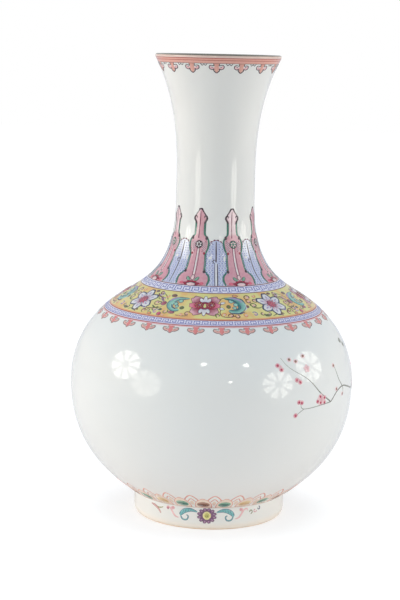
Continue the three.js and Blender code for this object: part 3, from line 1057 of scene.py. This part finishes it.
for k in range(4):
    turn = flower_turn + 90 * k
    spot = (turn, band_rise)
    for angle, far, half, level in crimson_lobes:
        lobe = placed(petal(2, far, half, 1.6), angle)
        lay(band["maroon"], placed(petal(2, far, half, 1.6, 0.6), angle), *spot, 0.14 + level)
        lay(band["carmine" if level else "crimson"], lobe, *spot, 0.17 + level, lambda u, v: 1.6 * v - 0.65)
    for angle in (0, 180):
        for lean, far in ((-24, 9.6), (24, 9.6), (0, 11.6)):
            lay(band["navy"], placed(petal(4.5, far, 1.6, 0, 0.5), angle + lean), *spot, 0.21)
            lay(band["white"], placed(petal(4.5, far, 1.6), angle + lean), *spot, 0.25, lambda u, v: v + 0.2)
    for lean in (-14, 14):
        lay(band["navy"], placed(petal(12.8, 16.4, 1.2, 0, 0.4), 90 + lean), *spot, 0.21)
        lay(band["white"], placed(petal(12.8, 16.4, 1.2), 90 + lean), *spot, 0.25, 0.8)
    for eye in (-4.8, 4.8):
        lay(band["crimson"], disc(eye, 0.8, 4.1), *spot, 0.27, -0.1)
        for angle in range(0, 360, 45):
            x, y = eye + 2.5 * np.sin(np.radians(angle)), 0.8 + 2.5 * np.cos(np.radians(angle))
            lay(band["olive"], disc(x, y, 0.55, steps=5, columns=4), *spot, 0.3, 0.9)
        lay(band["navy"], disc(eye, 0.8, 0.8, steps=5), *spot, 0.3)
        lay(band["white"], disc(eye + 0.9, 0.8, 0.5, 0.9, steps=5), *spot, 0.31, 0.9)
    # The left leaf of each crimson flower is painted paler than the right one: painted light, for the
    # brighter light on the left of the band. The shading from pale to deep across each leaf is the
    # painter's.
    for points, paleness_and_left_light in ((right_leaf, 1.2), (left_leaf, 1.6)):
        lay(band["navy"], stroke(in_band(widened(points, 0.6), flower_turn), steps=25), *spot, 0.13)
        blade = stroke(in_band(points, flower_turn), columns=7, steps=25)
        lay(band["turquoise"], blade, *spot, 0.18, lambda u, v: paleness_and_left_light - 1.6 * u)
    for t, r, size in leaf_lobes:
        place = (turn + t - flower_turn, r)
        lay(band["navy"], disc(0, 0, size + 0.5), *place, 0.14)
        lay(band["turquoise"], disc(0, 0, size), *place, 0.17, 0.9)
    for colour, points in leaf_shades:
        lay(band[colour], stroke(in_band(points, flower_turn), steps=13), *spot, 0.21, 0.4)
    for colour, coils in tendrils.items():
        for t, r, size, start, way in coils:
            place = (turn + t - flower_turn, r)
            lay(band["blush"], disc(0, 0, size * 0.6), *place, 0.13, 0.7)
            # Tendrils left of the flower are painted paler than those on its right: painted light from the
            # left.
            lay(band[colour], coil(size * 1.35, start, way, 0.5), *place, 0.16, 0.0 if t > 0 else 0.4)
    for colour, points in stalks:
        # Stalks left of the flower are painted paler than those on its right: painted light from the left.
        grade = 0.1 if points[0][0] > 0 else 0.5
        lay(band[colour], stroke(in_band(points, flower_turn), steps=13), *spot, 0.15, grade)
    for colour, t, r, wide, high in dabs:
        place = (turn + t - flower_turn, r)
        lay(band["navy"], disc(0, 0, wide + 0.35, high + 0.35), *place, 0.2)
        lay(band[colour], disc(0, 0, wide, high), *place, 0.23, 0.2)
    spot = (turn + 45, band_rise)
    for angle in range(0, 360, 60):
        lay(band["navy"], placed(petal(3.4, 12.6, 3.5, 0.3, 1.5), angle), *spot, 0.14)
        blossom = placed(petal(3.4, 12.6, 3.5, 0.3), angle)
        lay(band["white"], blossom, *spot, 0.19, lambda u, v: 1.3 * v - 0.1)
        lay(band["lilac"], placed(petal(6.6, 10.2, 0.7, steps=5, columns=5), angle), *spot, 0.22, 0.5)
        for lean in (-15, 15):
            lay(band["carmine"], spoke(angle + lean, [(3.0, 0.6), (6.6, 0.25)], steps=5), *spot, 0.22, 0.1)
    lay(band["maroon"], disc(0, 0, 4.3), *spot, 0.24)
    lay(band["carmine"], disc(0, 0, 3.8), *spot, 0.27, lambda u, v: 0.1 + 0.4 * u)
    for angle in range(0, 360, 40):
        lay(band["navy"], spoke(angle, [(2.0, 0.2), (4.6, 0.35)], steps=5), *spot, 0.3)
        lay(band["crimson"], spoke(angle + 20, [(0.6, 0.3), (3.4, 0.3)], steps=5), *spot, 0.3, 0.0)
fire_all(
    "flower_band_", band, navy=navy, white=white, crimson=crimson, turquoise=turquoise, lilac=lilac,
    brown=brown, olive=olive, orange=orange, blush=blush, maroon=maroon, carmine=carmine,
)

# The shoulder pendants
# Twenty-nine small pink cloud heads hang from the lower band onto the white belly.
shoulder_pendants = 29
shoulder_turn = 4
shoulder_rise = 205.4
shoulder_edge = [
    (2.6, 0.0, 0.25), (2.2, -1.6, 0.3), (4.0, -1.4, 0.35), (6.3, -1.4, 0.4), (6.5, -3.4, 0.4),
    (4.2, -4.9, 0.4), (2.3, -5.2, 0.35), (0, -7.0, 0.35),
]
mauve = enamel("mauve grey line", "7d6b68", "a8968f")
coral = enamel("coral enamel", "e58a88", "f3b0a6")
heads = defaultdict(list)
for k in range(shoulder_pendants):
    spot = (shoulder_turn + 360 / shoulder_pendants * k, shoulder_rise)
    stem = fill(*bordered([(0.6, 2.6), (-1.8, 1.7), (-4.4, 1.9), (-6.6, 0)]))
    lay(heads["pendants"], stem, *spot, 0.1, lambda u, v: v * 0.3 - 0.2)
    lobe = stroke([(1.0, -3.2, 0.8), (3.2, -3.7, 1.3), (5.2, -2.9, 1.1), (5.4, -1.4, 0.5)], columns=5)
    mirrored(heads["pendant_lobes"], lobe, *spot, 0.08, 0.5)
    mirrored(heads["pendant_lines"], stroke(shoulder_edge, steps=21), *spot, 0.13)
    vein = stroke([(1.9, -2.6, 0.15), (3.6, -3.0, 0.25), (4.6, -2.4, 0.2)])
    mirrored(heads["pendant_lines"], vein, *spot, 0.13)
fire_all("shoulder_", heads, pendants=coral, pendant_lobes=blush, pendant_lines=mauve)

# The prunus spray
# A flowering plum branch in sepia and rose, painted on the bare white of the belly.
sepia = enamel("sepia line", "66655a", "a9ada0")
twigs = [
    [(54, 135, 0.6), (47.5, 144, 0.5), (41, 157, 0.3), (34, 166, 0.22), (31, 171, 0.2), (29, 177, 0.15)],
    [
        (54, 135, 0.55), (59, 142, 0.55), (64.5, 144.5, 0.6), (70, 142, 0.7), (75, 139, 0.8),
        (82, 136, 0.9), (90, 131.5, 1.0), (98, 129, 1.1), (106, 122.5, 1.2), (114, 118.5, 1.3),
        (122, 110.5, 1.5), (130, 105, 1.7),
    ],
    [(80, 137, 0.5), (85, 148, 0.45), (90, 153, 0.4), (93, 163, 0.3)],
    [(96, 129.5, 0.5), (102, 137, 0.45), (109, 140.5, 0.4), (114, 149, 0.3)],
    [(106, 122.5, 0.5), (102, 115, 0.4), (97, 110, 0.3)],
    [(64, 144.5, 0.5), (61, 152, 0.4), (59, 163, 0.3)],
    [(54, 135, 0.4), (48, 134.5, 0.35), (38, 134, 0.3), (36, 139, 0.2)],
    [(38, 134, 0.3), (34.5, 130, 0.25)],
    [(64.5, 144, 0.35), (65, 138, 0.25)],
]
buds = [
    (27, 171), (28.5, 167.5), (35, 158), (36.5, 156), (35.5, 140), (36.8, 139.3), (34, 129.5), (45.5, 138),
    (47, 141.5), (47.2, 136.5), (49.5, 140), (49.5, 136), (87.5, 154.5), (90, 149.5), (94, 165), (92, 167.5),
    (104, 142), (112, 146), (116, 150.5), (95, 112), (98.5, 107), (117, 121.5), (124, 104.5),
]
brown_buds = [(33, 175), (36, 173), (40.5, 176.5), (58.5, 163.5), (58.5, 144), (64, 138)]
blossoms = [
    (47.5, 139, 5.0), (41, 166, 3.6), (36, 157, 2.2), (28, 169.5, 2.2), (83, 139, 4.4), (93, 157, 5.0),
    (101, 134, 5.4), (112, 141, 5.0), (102, 112, 5.2), (120, 115, 5.6),
]
spray = defaultdict(list)
for twig in twigs:
    turn, rise, _ = twig[len(twig) // 2]
    line = stroke(in_band(twig, turn, rise), steps=8 * len(twig))
    lay(spray["twigs"], line, turn, rise, 0.08, lambda u, v: 0.2 + 0.8 * v)
for turn, rise in buds:
    lay(spray["blossoms"], disc(0, 0, 2.3, 2.0), turn, rise, 0.08, 0.2)
    lay(spray["buds"], disc(0, 0, 1.3, 1.1), turn, rise, 0.14, 0.2)
    lay(spray["bud_hearts"], disc(0.3, -0.2, 0.7, 0.6), turn, rise, 0.18, 0.0)
for turn, rise in brown_buds:
    lay(spray["blossoms"], disc(0, 0, 2.4, 1.9), turn, rise, 0.08, 0.9)
    lay(spray["brown_buds"], disc(0, 0, 1.4, 1.1), turn, rise, 0.12, 0.5)
for turn, rise in ((76, 179.5), (79, 175)):
    lay(spray["twigs"], disc(0, 0, 3.6, 2.2), turn, rise, 0.1, 0.7)
for turn, rise, size in blossoms:
    for angle in range(0, 360, 72):
        lay(spray["blossoms"], placed(petal(0.2, size, size * 0.45), angle), turn, rise, 0.1, lambda u, v: v)
fire_all("prunus_", spray, twigs=sepia, buds=carmine, bud_hearts=crimson, brown_buds=brown, blossoms=pink)

# The foot border
# Twenty-six short lappets in brown, green and ochre stand on the seam of the foot, with pointed
# salmon arches between them.
border_units = 26
border_turn = -3.8
border_rise = 23.0
cream = enamel("cream enamel", "ead2bf", "f3e4d6")
ochre = enamel("ochre enamel", "cda36a", "e6cc9c")
border_half = [(0, 6.0), (5, 6.5), (10, 6.1), (14, 4.8), (17, 2.8), (19, 0.2)]
border = defaultdict(list)
for k in range(border_units):
    spot = (border_turn + 360 / border_units * k, border_rise)
    gap = (spot[0] + 180 / border_units, border_rise)
    colour = ("brown", "green", "ochre", "green")[min(k, border_units - k) % 4]
    lay(border["salmon"], fill(*bordered(border_half, 0.7), steps=19), *spot, 0.08, 0.2)
    lay(border["cream"], fill(*bordered(border_half), steps=19), *spot, 0.12)
    lay(border[colour], disc(0, 7.5, 5.5, 5.6), *spot, 0.16, 0.9)
    lay(border[colour], disc(0, 6.8, 4.6, 2.4), *spot, 0.2, 0.1)
    arch = stroke([(-6.4, 13, 0.6), (-4.2, 20, 0.7), (0, 25, 0.8), (4.2, 20, 0.7), (6.4, 13, 0.6)], steps=15)
    lay(border["salmon"], arch, *gap, 0.06, 0.2)
    lay(border["salmon"], stroke([(-3.2, 13, 0.5), (0, 19, 0.6), (3.2, 13, 0.5)], steps=11), *gap, 0.06, 0.2)
    lay(border["cream"], disc(0, 10.5, 1.6, 4.5), *gap, 0.06, 0.0)
fire_all("foot_border_", border, salmon=salmon, cream=cream, brown=brown, green=green, ochre=ochre)
ring("foot_border_line", 22.5, 23.2, salmon, 0.12)

# The foot scroll
# A purple flower between striped turquoise leaves and pink tendrils, brushed on the foot ring in
# front and again behind. The ring stays plain between the two.
purple = enamel("purple enamel", "5f3d60", "b08cae")
heart_yellow = enamel("yellow-green enamel", "b7b65a", "ece8a6")
aqua = enamel("aqua enamel", "3f9fa9", "9ad6d6")
scroll_turn = -1.5
scroll_rise = 14.3
flower_oval = (1.2, 1.0)
scroll_leaf = [
    (8, 2.8, 0.3), (10.5, 3.6, 0.8), (14, 4.2, 1.4), (18.5, 3.2, 1.8), (21.5, 0.8, 1.5), (22.6, -1.4, 0.8),
]
scroll_curl = [
    (22.4, -1.0, 0.5), (20.6, -4.2, 0.55), (17.0, -4.4, 0.55), (15.6, -1.6, 0.5), (17.2, -0.2, 0.4),
]
scroll_tendril = [
    (24, -3.4, 0.4), (27, -2.6, 0.7), (29.4, 0, 0.8), (31.4, 3.2, 0.8), (34.6, 4.6, 0.6), (35.6, 2.6, 0.4),
]
left_end = [(-41.4, -2.6, 0.5), (-44, 0.4, 0.9), (-48, 2.8, 1.1), (-52.6, 3.8, 0.5)]
right_end = [
    ("olive", 34.2, 1.4, 2.0, 180, -1, 0.3), ("crimson", 38.2, 1.8, 1.8, 90, 1, 0.6),
    ("navy", 41.6, 3.2, 1.7, 0, 1, 0.8),
]
scroll = defaultdict(list)
for k in range(2):
    spot = (scroll_turn + 180 * k, scroll_rise)
    for angle in np.arange(15, 375, 30):
        outer = placed(petal(2.8, 7.5, 1.5, 0.8, columns=7), angle) * flower_oval
        inner = placed(petal(4.4, 6.3, 0.6, steps=5, columns=5), angle) * flower_oval
        lay(scroll["purple"], outer, *spot, 0.12, 0.25)
        lay(scroll["purple"], inner, *spot, 0.15, 1.0)
    lay(scroll["yellow"], disc(0, 0, 3.6), *spot, 0.16, 1.2)
    for angle in range(0, 360, 45):
        lay(scroll["purple"], spoke(angle, [(2.7, 0.12), (3.6, 0.2)], steps=5), *spot, 0.19)
    lay(scroll["yellow"], disc(0, 0, 2.3), *spot, 0.2, 0.3)
    mirrored(scroll["olive"], coil(1.3, 90, 1, 0.22), *spot, 0.23)
    shadow = stroke(widened(scroll_leaf, 0.25), columns=5, steps=17)
    mirrored(scroll["navy"], shadow, *spot, 0.1, 1.0)
    mirrored(scroll["aqua"], stroke(scroll_leaf, columns=5, steps=17), *spot, 0.14, 0.55)
    for x, y, half in scroll_leaf[1:5]:
        for shift in (-0.9, 0.9):
            stripe = [(x + shift, y + half * 0.8, 0.15), (x + shift + 0.5, y - half * 0.7, 0.2)]
            mirrored(scroll["navy"], stroke(stripe, steps=5), *spot, 0.18, 1.2)
    mirrored(scroll["navy"], stroke(widened(scroll_curl, 0.1), steps=15), *spot, 0.13, 1.2)
    mirrored(scroll["aqua"], stroke(widened(scroll_curl, -0.2), steps=15), *spot, 0.17, 0.6)
    mirrored(scroll["pink"], stroke(scroll_tendril, steps=15, columns=5), *spot, 0.12, 0.5)
    lay(scroll["crimson"], disc(-34.2, 3.2, 1.1), *spot, 0.16, 0.4)
    mirrored(scroll["pink"], disc(29.4, 4.2, 1.7, 1.5), *spot, 0.16, 0.3)
    mirrored(scroll["crimson"], disc(29.4, 4.2, 0.7, 0.6, steps=5), *spot, 0.2, 0.6)
    lay(scroll["olive"], stroke([(-39, 3.2, 0.3), (-43, 2.0, 0.5), (-47, 2.6, 0.3)]), *spot, 0.12, 0.8)
    lay(scroll["brown"], stroke(left_end, steps=13), *spot, 0.14, 1.0)
    left_heart = [(x, y, half * 0.5) for x, y, half in left_end]
    lay(scroll["pink"], stroke(left_heart, steps=13), *spot, 0.18, 0.2)
    for colour, t, r, size, start, way, grade in right_end:
        lay(scroll[colour], coil(size, start, way), spot[0] + t, scroll_rise + r, 0.14, grade)
fire_all(
    "foot_scroll_", scroll, purple=purple, yellow=heart_yellow, olive=olive, navy=navy, aqua=aqua,
    pink=pink, crimson=crimson, brown=brown,
)

# The floor
# A plain pale tabletop that carries the vase's shadow and a painted ring of shade round the foot,
# and that sends a painted warm glow up onto the vase. Its front edge is out of the picture, nearer
# to the camera than the vase.
WARM_BOUNCE_GLOW = 0.1
FLOOR_SHEEN = 0.35
FLOOR_GLOW = 1.12
SHADOW_EDGE = (68.0, 125.0)
FLOOR_LIFT = (0.58, 0.86)


def floor_material():
    """Matt white paper. To the camera it is lifted most of the way to white, as an even studio sweep
    is, and least round the foot, which paints a soft ring of shade there, over which the vase's own
    shadow shows. The glaze mirrors only a share of that lift, which leaves the edge of the white
    foot darker than the floor. To all rays but the camera's it also glows faintly orange, less in
    the glaze's mirror: a painted warm light sent back up onto the vase."""
    material, tree, shader, place = new_material("white paper floor")
    path = add_node(tree, "ShaderNodeLightPath", {}).outputs
    seen = add_node(
        tree,
        "ShaderNodeMath",
        {0: path["Is Glossy Ray"], 1: FLOOR_SHEEN, 2: path["Is Camera Ray"]},
        operation="MULTIPLY_ADD",
    ).outputs[0]
    unseen = add_node(tree, "ShaderNodeMath", {0: 1.0, 1: seen}, operation="SUBTRACT").outputs[0]
    # Painted warm light: the floor glows faintly orange onto the vase, though it is no lamp.
    warm_bounce_glow = add_node(tree, "ShaderNodeMath", {0: unseen, 1: WARM_BOUNCE_GLOW}, operation="MULTIPLY").outputs[0]
    paper = {"Base Color": linear("f6f8fa"), "Roughness": 0.9, "Specular IOR Level": 0.2}
    set_inputs(tree, shader, paper | {"Emission Color": linear("ffa400"), "Emission Strength": warm_bounce_glow})
    # Less lift near the foot: a painted ring of shade round the vase.
    reach = add_node(tree, "ShaderNodeVectorMath", {0: place}, operation="LENGTH").outputs["Value"]
    edge = {"From Min": SHADOW_EDGE[0] * MM, "From Max": SHADOW_EDGE[1] * MM}
    lift = add_node(
        tree,
        "ShaderNodeMapRange",
        {"Value": reach, "To Min": FLOOR_LIFT[0], "To Max": FLOOR_LIFT[1]} | edge,
        interpolation_type="SMOOTHSTEP",
    ).outputs[0]
    share = add_node(tree, "ShaderNodeMath", {0: seen, 1: lift}, operation="MULTIPLY").outputs[0]
    glow = add_node(
        tree, "ShaderNodeEmission", {"Color": linear("ffffff"), "Strength": FLOOR_GLOW}
    ).outputs[0]
    mix = add_node(tree, "ShaderNodeMixShader", {0: share, 1: shader.outputs[0], 2: glow}).outputs[0]
    set_inputs(tree, tree.nodes["Material Output"], {"Surface": mix})
    return material


floor_reach = 6000.0
floor_front = 750.0
near = [(-floor_reach, -floor_front, 0), (floor_reach, -floor_front, 0)]
far = [(floor_reach, floor_reach, 0), (-floor_reach, floor_reach, 0)]
corners = np.array(near + far)
floor = put_mesh("floor", corners, np.array([[0, 1, 2, 3]]), np.zeros((0, 3), int), [floor_material()])

# The studio
# A white room with four folding octagonal softboxes, two to a side, and three small lamps. Warm
# light comes back from the walls at the vase's two sides, and cooler light from the ceiling. The
# camera sees a white backdrop, and the glaze mirrors it a little duller.
wall_light = 1.2
wall_lean = 0.2
ceiling_light = 0.76
ceiling_lean = 0.04
backdrop_sheen = 0.8
world = bpy.data.worlds.new("studio")
bpy.context.scene.world = world
world.use_nodes = True
room = world.node_tree
direction = add_node(room, "ShaderNodeTexCoord", {}).outputs["Generated"]
parts = add_node(room, "ShaderNodeSeparateXYZ", {"Vector": direction}).outputs
sideways = add_node(room, "ShaderNodeMath", {0: parts["X"], 1: 4.0}, operation="POWER").outputs[0]
upwards = add_node(room, "ShaderNodeMath", {0: parts["Z"], 1: 0.0}, operation="MAXIMUM").outputs[0]
leftward_wall = add_node(
    room, "ShaderNodeMath", {0: parts["X"], 1: -wall_lean, 2: wall_light}, operation="MULTIPLY_ADD"
).outputs[0]
leftward_ceiling = add_node(
    room, "ShaderNodeMath", {0: parts["X"], 1: -ceiling_lean, 2: ceiling_light}, operation="MULTIPLY_ADD"
).outputs[0]
wall_level = add_node(
    room, "ShaderNodeMath", {0: sideways, 1: leftward_wall}, operation="MULTIPLY"
).outputs[0]
ceiling_level = add_node(
    room, "ShaderNodeMath", {0: upwards, 1: leftward_ceiling}, operation="MULTIPLY"
).outputs[0]
walls = add_node(
    room, "ShaderNodeBackground", {"Color": linear("ffdcc7"), "Strength": wall_level}
).outputs[0]
ceiling = add_node(
    room, "ShaderNodeBackground", {"Color": linear("b8dfff"), "Strength": ceiling_level}
).outputs[0]
ambient = add_node(room, "ShaderNodeAddShader", {0: walls, 1: ceiling}).outputs[0]
backdrop = add_node(room, "ShaderNodeBackground", {"Color": linear("ffffff"), "Strength": 1.0}).outputs[0]
path = add_node(room, "ShaderNodeLightPath", {}).outputs
straight = add_node(
    room, "ShaderNodeMath", {0: path["Is Camera Ray"], 1: path["Is Transmission Ray"]}, operation="MAXIMUM"
).outputs[0]
shown = add_node(
    room,
    "ShaderNodeMath",
    {0: path["Is Glossy Ray"], 1: backdrop_sheen, 2: straight},
    operation="MULTIPLY_ADD",
).outputs[0]
blend = add_node(room, "ShaderNodeMixShader", {0: shown, 1: ambient, 2: backdrop}).outputs[0]
set_inputs(room, room.nodes["World Output"], {"Surface": blend})

LAMP_COLOUR = linear("fffbf1")
lamp_aim = Vector((0, 0, 0.12))
lamp_distance = 2.2
lamp_sides = 8
rib_half = 7.5
hub_share = 0.25


def glowing(name, strength):
    """A plain glow, the same in every direction."""
    material, tree, *_ = new_material(name)
    glow = add_node(tree, "ShaderNodeEmission", {"Color": LAMP_COLOUR, "Strength": strength}).outputs[0]
    set_inputs(tree, tree.nodes["Material Output"], {"Surface": glow})
    return material


def lamp_face(name, azimuth, elevation, across_degrees, strength, rib_strength):
    """A glowing octagon that faces the vase: bright panels between duller ribs, and a dull hub.
    Azimuth 0 is the camera's side and grows to its right, and its width is the angle that it
    spans, seen from the vase."""
    side, rise = np.radians(azimuth), np.radians(elevation)
    out = np.array([np.sin(side) * np.cos(rise), -np.cos(side) * np.cos(rise), np.sin(rise)])
    right = np.cross((0, 0, 1), out)
    right /= np.linalg.norm(right)
    up = np.cross(out, right)
    reach = lamp_distance * np.tan(np.radians(across_degrees / 2))
    spokes = np.arange(lamp_sides) * 360 / lamp_sides
    turns = np.radians(np.stack([spokes + rib_half, spokes + 360 / lamp_sides - rib_half], 1).ravel())
    rim = np.outer(np.cos(turns), right) + np.outer(np.sin(turns), up)
    centre = np.array(lamp_aim) + out * lamp_distance
    points = np.vstack([centre + rim * reach, centre + rim * reach * hub_share, [centre]])
    count = 2 * lamp_sides
    start = np.arange(count)
    after = np.roll(start, -1)
    panels = np.stack([start, after, after + count, start + count], 1)
    hub = np.stack([start + count, after + count, np.full(count, 2 * count)], 1)
    glows = [glowing(name, strength), glowing(name + "_ribs", rib_strength)]
    face = put_mesh(name, points / MM, panels[:, ::-1], hub[:, ::-1], glows)
    dull = np.concatenate([start % 2, np.ones(count)]).astype(np.int32)
    face.data.polygons.foreach_set("material_index", dull)
    face.visible_camera = False


lamp_face("softbox_left_rear", -77.4, 20, 28, 7.3, 3.0)
lamp_face("softbox_left_front", -53, 8.5, 26, 4.0, 2.4)
lamp_face("softbox_right_front", 54, 10, 27, 5.2, 1.8)
lamp_face("softbox_right_rear", 88.6, 17, 28, 4.9, 2.0)
lamp_face("lamp_centre", -7.4, 37.3, 4.4, 14.0, 14.0)
lamp_face("lamp_right", 31, 34.7, 4.4, 14.0, 14.0)
lamp_face("lamp_low", 14.4, 17, 2.6, 16.0, 16.0)

# The camera
# It stands a little above the mouth and looks down, with the slight roll of a hand-held picture.
camera_place = (-0.0111, -1.329, 0.4003)
camera_pitch = np.radians(9.28)
camera_roll = np.radians(1.21)
camera_data = bpy.data.cameras.new("camera")
camera_data.lens = 94.92
camera_data.sensor_width = 36
camera = bpy.data.objects.new("camera", camera_data)
bpy.context.scene.collection.objects.link(camera)
forward = Vector((0, np.cos(camera_pitch), -np.sin(camera_pitch)))
upward = Vector((0, np.sin(camera_pitch), np.cos(camera_pitch)))
level = Vector((1, 0, 0))
right = level * np.cos(camera_roll) + upward * np.sin(camera_roll)
up = upward * np.cos(camera_roll) - level * np.sin(camera_roll)
facing = Matrix((right, up, -forward)).transposed().to_4x4()
camera.matrix_world = Matrix.Translation(camera_place) @ facing
bpy.context.scene.camera = camera
bpy.context.scene.view_settings.view_transform = "Standard"
